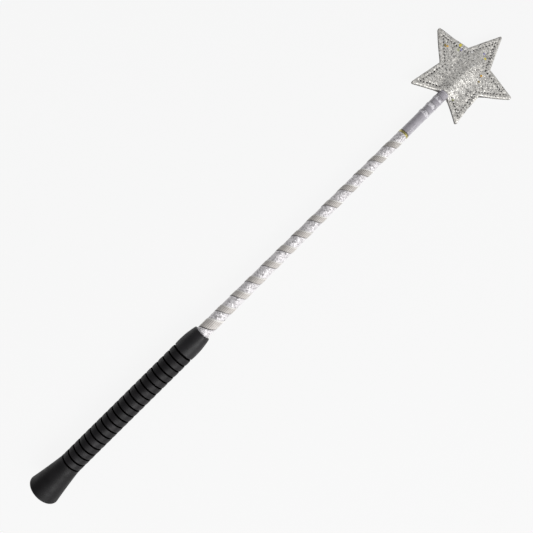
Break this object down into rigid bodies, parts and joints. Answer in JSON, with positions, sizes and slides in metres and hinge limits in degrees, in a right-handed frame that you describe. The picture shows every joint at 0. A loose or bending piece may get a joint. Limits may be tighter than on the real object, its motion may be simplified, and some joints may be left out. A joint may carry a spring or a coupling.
{
  "type": "star-tipped wand",
  "caption": "Straight wand with a flared butt, ribbed rubber grip, ribbon-wound silver shaft and a sewn glitter star at its tip, for waving in play and on stage.",
  "frame": {"origin": "centre of the flat face of the butt cap", "axes": "+X along the straight shaft towards the tip of the star, +Z out of the star's front face, +Y completes a right-handed frame"},
  "size_m": [0.6, 0.0934, 0.0318],
  "materials": {
    "cap_rubber": "satin",
    "grip_rubber": "satin",
    "collar_rubber": "satin",
    "inner_plastic": "matte",
    "rod": "satin",
    "padding": "matte",
    "silver_film": "gloss",
    "ribbon": "satin",
    "gold_ring": "gloss",
    "sleeve": "satin",
    "thread": "matte",
    "tip_rubber": "matte",
    "stiffener": "matte",
    "glitter_front": "gloss",
    "glitter_back": "gloss",
    "seam_thread": "satin"
  },
  "bodies": {
    "root": {"butt_cap": "cap_rubber", "butt_plug": "inner_plastic", "handle_tube": "inner_plastic", "ribbed_grip": "grip_rubber", "grip_collar": "collar_rubber", "core_rod": "rod", "shaft_padding": "padding", "foil_wrap": "silver_film", "spiral_ribbon": "ribbon", "end_binding": "gold_ring", "tip_sleeve": "sleeve", "whipping_lower": "thread", "whipping_middle": "thread", "whipping_upper": "thread", "rod_tip_cap": "tip_rubber", "star_stiffener": "stiffener", "star_front": "glitter_front", "star_back": "glitter_back", "seam_thread_front": "seam_thread", "seam_thread_back": "seam_thread"}
  },
  "joints": []
}
